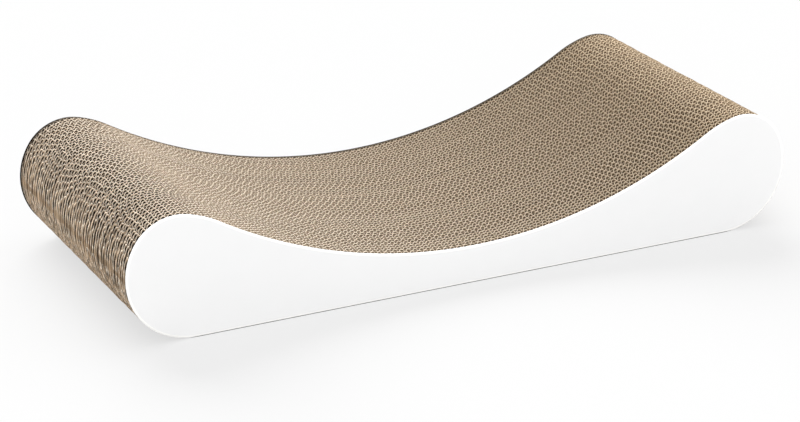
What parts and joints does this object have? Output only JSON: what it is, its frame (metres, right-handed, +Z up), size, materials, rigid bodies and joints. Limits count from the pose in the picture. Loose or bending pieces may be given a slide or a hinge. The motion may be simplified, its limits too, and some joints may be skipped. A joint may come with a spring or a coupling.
{
  "type": "cardboard scratcher lounge",
  "caption": "Long cardboard scratching lounge of corrugated boards glued on edge, with two rounded bolsters, a curved hollow between them and plain white side panels.",
  "frame": {"origin": "middle of the flat underside", "axes": "+X along the length, +Y from the front panel to the back panel, +Z up"},
  "size_m": [0.69, 0.29, 0.12],
  "materials": {
    "corrugated_board": "raw kraft paper, open fluted edges",
    "white_panel": "matt white coated board"
  },
  "bodies": {
    "root": {"front_panel": "white_panel", "board_01": "corrugated_board", "board_02": "corrugated_board", "board_03": "corrugated_board", "board_04": "corrugated_board", "board_05": "corrugated_board", "board_06": "corrugated_board", "board_07": "corrugated_board", "board_08": "corrugated_board", "board_09": "corrugated_board", "board_10": "corrugated_board", "board_11": "corrugated_board", "board_12": "corrugated_board", "board_13": "corrugated_board", "board_14": "corrugated_board", "board_15": "corrugated_board", "board_16": "corrugated_board", "board_17": "corrugated_board", "board_18": "corrugated_board", "board_19": "corrugated_board", "board_20": "corrugated_board", "board_21": "corrugated_board", "board_22": "corrugated_board", "board_23": "corrugated_board", "board_24": "corrugated_board", "board_25": "corrugated_board", "board_26": "corrugated_board", "board_27": "corrugated_board", "board_28": "corrugated_board", "board_29": "corrugated_board", "board_30": "corrugated_board", "board_31": "corrugated_board", "board_32": "corrugated_board", "board_33": "corrugated_board", "board_34": "corrugated_board", "board_35": "corrugated_board", "board_36": "corrugated_board", "board_37": "corrugated_board", "board_38": "corrugated_board", "board_39": "corrugated_board", "board_40": "corrugated_board", "board_41": "corrugated_board", "board_42": "corrugated_board", "board_43": "corrugated_board", "board_44": "corrugated_board", "board_45": "corrugated_board", "board_46": "corrugated_board", "board_47": "corrugated_board", "board_48": "corrugated_board", "board_49": "corrugated_board", "board_50": "corrugated_board", "board_51": "corrugated_board", "board_52": "corrugated_board", "board_53": "corrugated_board", "board_54": "corrugated_board", "back_panel": "white_panel"}
  },
  "joints": []
}
